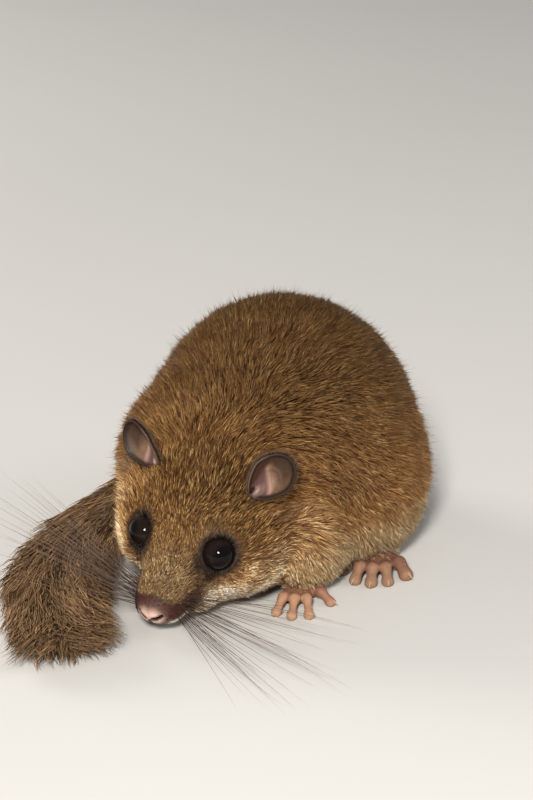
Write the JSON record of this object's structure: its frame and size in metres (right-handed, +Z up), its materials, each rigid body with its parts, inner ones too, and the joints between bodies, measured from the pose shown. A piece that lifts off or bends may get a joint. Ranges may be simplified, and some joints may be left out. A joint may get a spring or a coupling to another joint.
{
  "type": "edible dormouse",
  "caption": "Life-size edible dormouse, crouching with its head lowered and its bushy tail laid round its side to the front, as a still museum-like model.",
  "frame": {"origin": "middle of the footprint's bounding box, on the floor", "axes": "+Z up, the animal faces -Y, +X is its left side"},
  "size_m": [0.0932, 0.1246, 0.0621],
  "materials": {
    "coat": "short dense fur, brown with tan tips",
    "tail_coat": "long soft fur",
    "eye": "wet gloss",
    "ear_skin": "thin bare skin",
    "paw_skin": "bare pink skin"
  },
  "bodies": {
    "root": {"torso": "coat", "neck": "coat", "head": "coat", "thigh_left": "coat", "thigh_right": "coat", "arm_left": "coat", "arm_right": "coat", "tail_base": "tail_coat", "tail_middle": "tail_coat", "tail_end": "tail_coat", "eye_left": "eye", "eye_right": "eye", "ear_left": "ear_skin", "ear_right": "ear_skin", "hand_left": "paw_skin", "hand_right": "paw_skin", "foot_left": "paw_skin", "foot_right": "paw_skin"}
  },
  "joints": []
}
